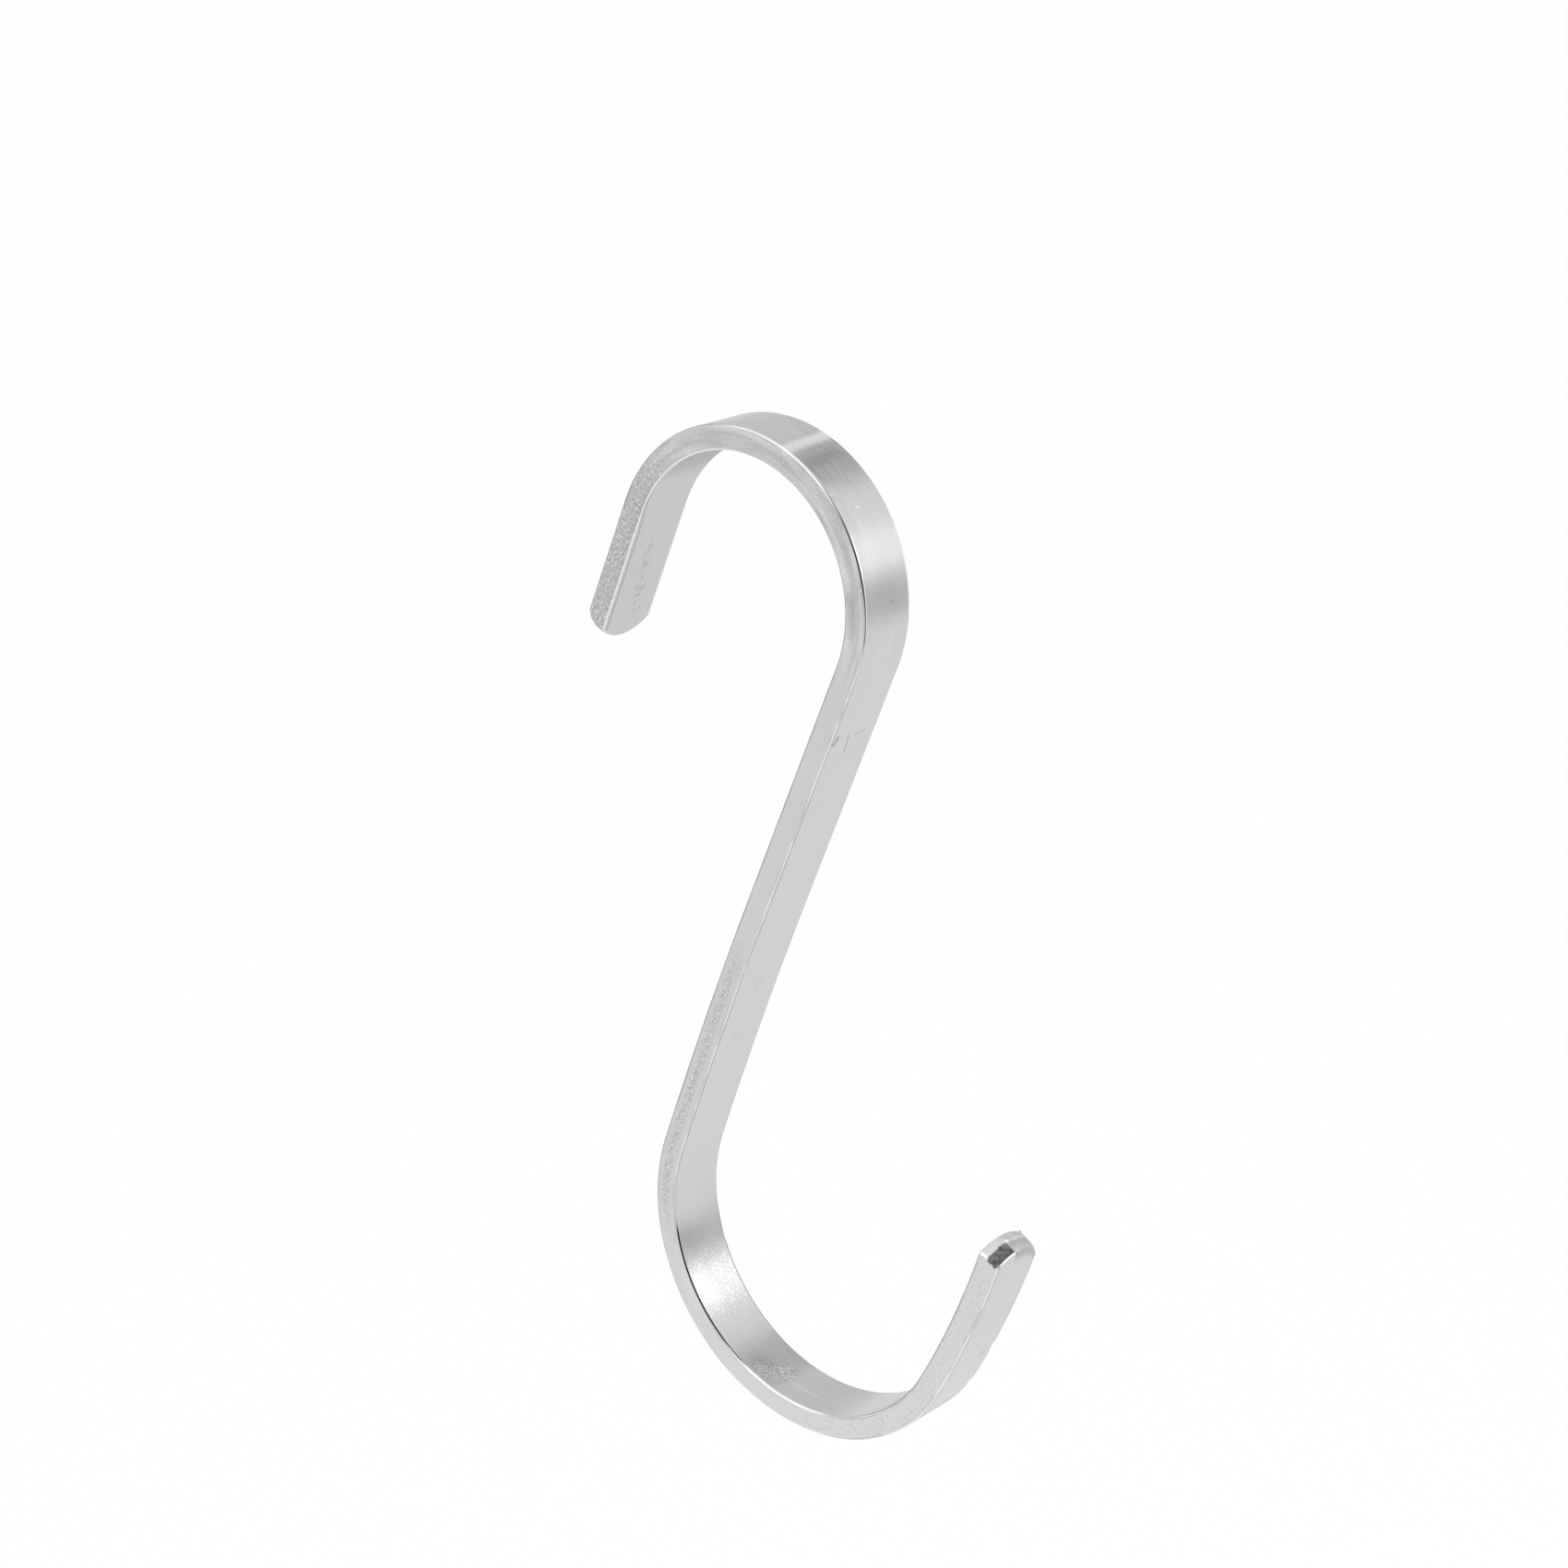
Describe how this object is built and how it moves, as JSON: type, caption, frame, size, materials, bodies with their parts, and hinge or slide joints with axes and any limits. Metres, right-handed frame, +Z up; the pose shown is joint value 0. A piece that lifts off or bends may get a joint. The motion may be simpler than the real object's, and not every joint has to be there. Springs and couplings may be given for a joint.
{
  "type": "s hook",
  "caption": "S-shaped hook bent from flat steel bar with softly rounded edges and arc-cropped ends, for hanging things from a rail.",
  "frame": {"origin": "centre of the upper bend, on the axis of the rail that the hook hangs on, halfway across the bar's width", "axes": "+Z up as the hook hangs under a load, with the lower bend's centre straight below the origin; +Y along the rail and the bar's width; +X towards the side where the tip of the load end is"},
  "size_m": [0.0465, 0.0066, 0.1029],
  "materials": {
    "bar": "satin bright, drawn bar, with fine pits on the narrow faces"
  },
  "bodies": {
    "root": {"s_hook": "bar"}
  },
  "joints": []
}
